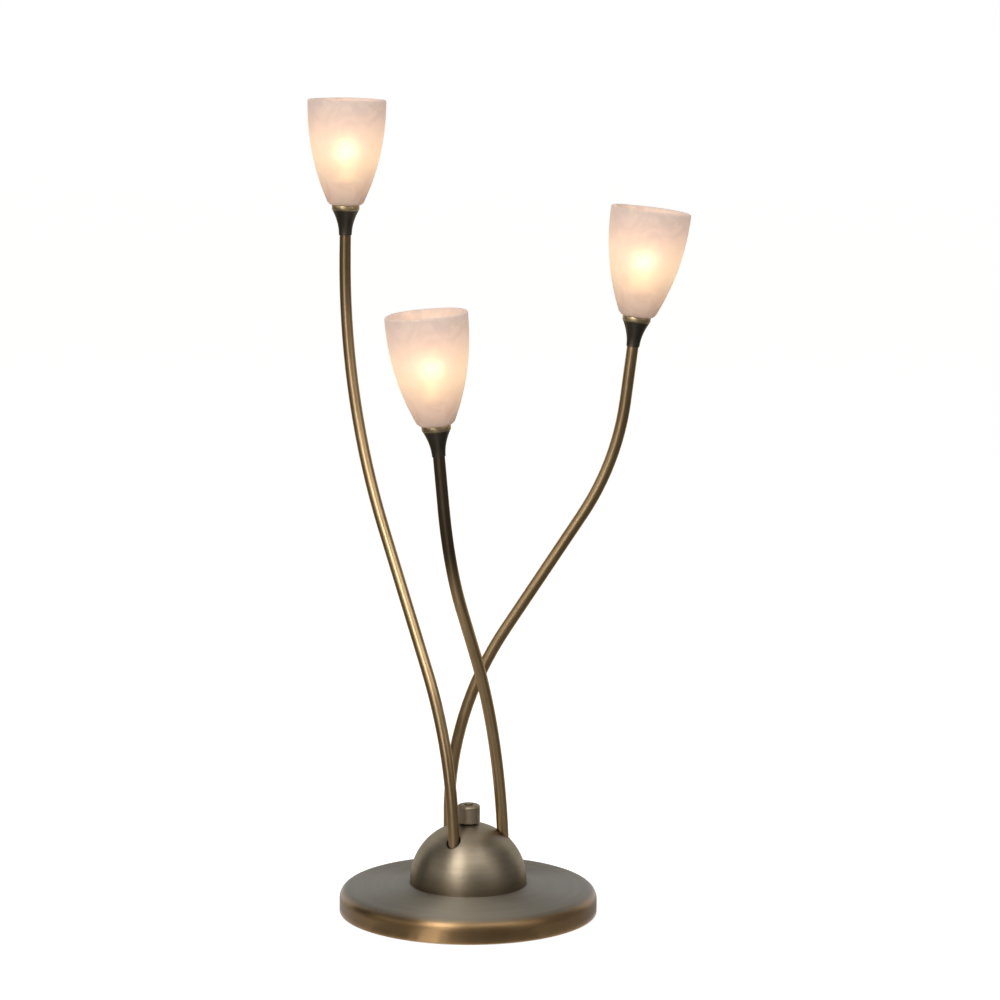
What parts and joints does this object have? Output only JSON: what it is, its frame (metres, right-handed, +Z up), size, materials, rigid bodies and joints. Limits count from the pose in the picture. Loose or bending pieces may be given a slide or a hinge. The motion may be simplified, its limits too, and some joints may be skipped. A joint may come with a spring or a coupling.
{
  "type": "tulip shade table lamp",
  "caption": "Table lamp with bent tube arms that rise from a domed round base, each carrying an upright tulip shaped frosted glass shade, and a dimmer knob on the dome.",
  "frame": {"origin": "centre of the felt's underside, on the table", "axes": "+Z up; the dimmer knob is on the Z axis; the viewer stands at -Y and the cable inlet is at +Y"},
  "size_m": [0.2662, 0.241, 0.5614],
  "materials": {
    "felt": "pressed felt",
    "cast_iron": "black painted casting",
    "brushed_bronze": "spun-brushed antique bronze, lacquered",
    "tube_bronze": "drawn tube, brushed antique bronze",
    "dark_bronze": "turned, dark antique bronze",
    "knob_bronze": "turned and brushed antique bronze",
    "alabaster_glass": "frosted glass with faint marbling",
    "bulb_glass": "clear glass",
    "filament": "drawn wire",
    "ceramic": "unglazed white ceramic",
    "rubber": "moulded rubber",
    "grommet_rubber": "moulded brown rubber",
    "plain_brass": "turned, bright",
    "ivory_plastic": "moulded",
    "black_plastic": "moulded",
    "wire_sheath": "smooth flexible sheath",
    "zinc_steel": "zinc plated"
  },
  "bodies": {
    "lamp": {"felt_pad": "felt", "bottom_plate": "zinc_steel", "bottom_plate_screws": "zinc_steel", "base_weight": "cast_iron", "base_disc": "brushed_bronze", "cable_grommet": "grommet_rubber", "terminal_block": "ivory_plastic", "terminal_screws": "plain_brass", "terminal_fixings": "zinc_steel", "dome_screws": "zinc_steel", "plate_standoffs": "plain_brass", "standoff_screws": "zinc_steel", "arm_plate": "zinc_steel", "arm_nuts": "plain_brass", "earth_screw": "plain_brass", "earth_lead": "wire_sheath", "dome": "brushed_bronze", "dimmer_body": "black_plastic", "dimmer_leads": "wire_sheath", "dimmer_nut": "plain_brass", "arm_tall": "tube_bronze", "arm_medium": "tube_bronze", "arm_short": "tube_bronze", "arm_lead_tall": "wire_sheath", "arm_lead_medium": "wire_sheath", "arm_lead_short": "wire_sheath", "cup_tall": "dark_bronze", "cup_medium": "dark_bronze", "cup_short": "dark_bronze", "nipple_tall": "plain_brass", "nipple_medium": "plain_brass", "nipple_short": "plain_brass", "seat_washer_tall": "rubber", "seat_washer_medium": "rubber", "seat_washer_short": "rubber", "glass_shade_tall": "alabaster_glass", "glass_shade_medium": "alabaster_glass", "glass_shade_short": "alabaster_glass", "clamp_washer_tall": "zinc_steel", "clamp_washer_medium": "zinc_steel", "clamp_washer_short": "zinc_steel", "lampholder_base_tall": "ceramic", "lampholder_base_medium": "ceramic", "lampholder_base_short": "ceramic", "lampholder_tall": "ceramic", "lampholder_medium": "ceramic", "lampholder_short": "ceramic", "holder_contacts": "plain_brass", "bulb_glass_tall": "bulb_glass", "bulb_glass_medium": "bulb_glass", "bulb_glass_short": "bulb_glass", "bulb_filament_tall": "filament", "bulb_filament_medium": "filament", "bulb_filament_short": "filament"},
    "dimmer": {"dimmer_shaft": "zinc_steel", "knob": "knob_bronze", "knob_set_screw": "zinc_steel"}
  },
  "joints": [
    {"name": "dimmer_turn", "type": "hinge", "parent": "lamp", "child": "dimmer", "pos_m": [0, 0, 0.063], "axis": [0, 0, 1], "range_deg": [0, 270]}
  ]
}
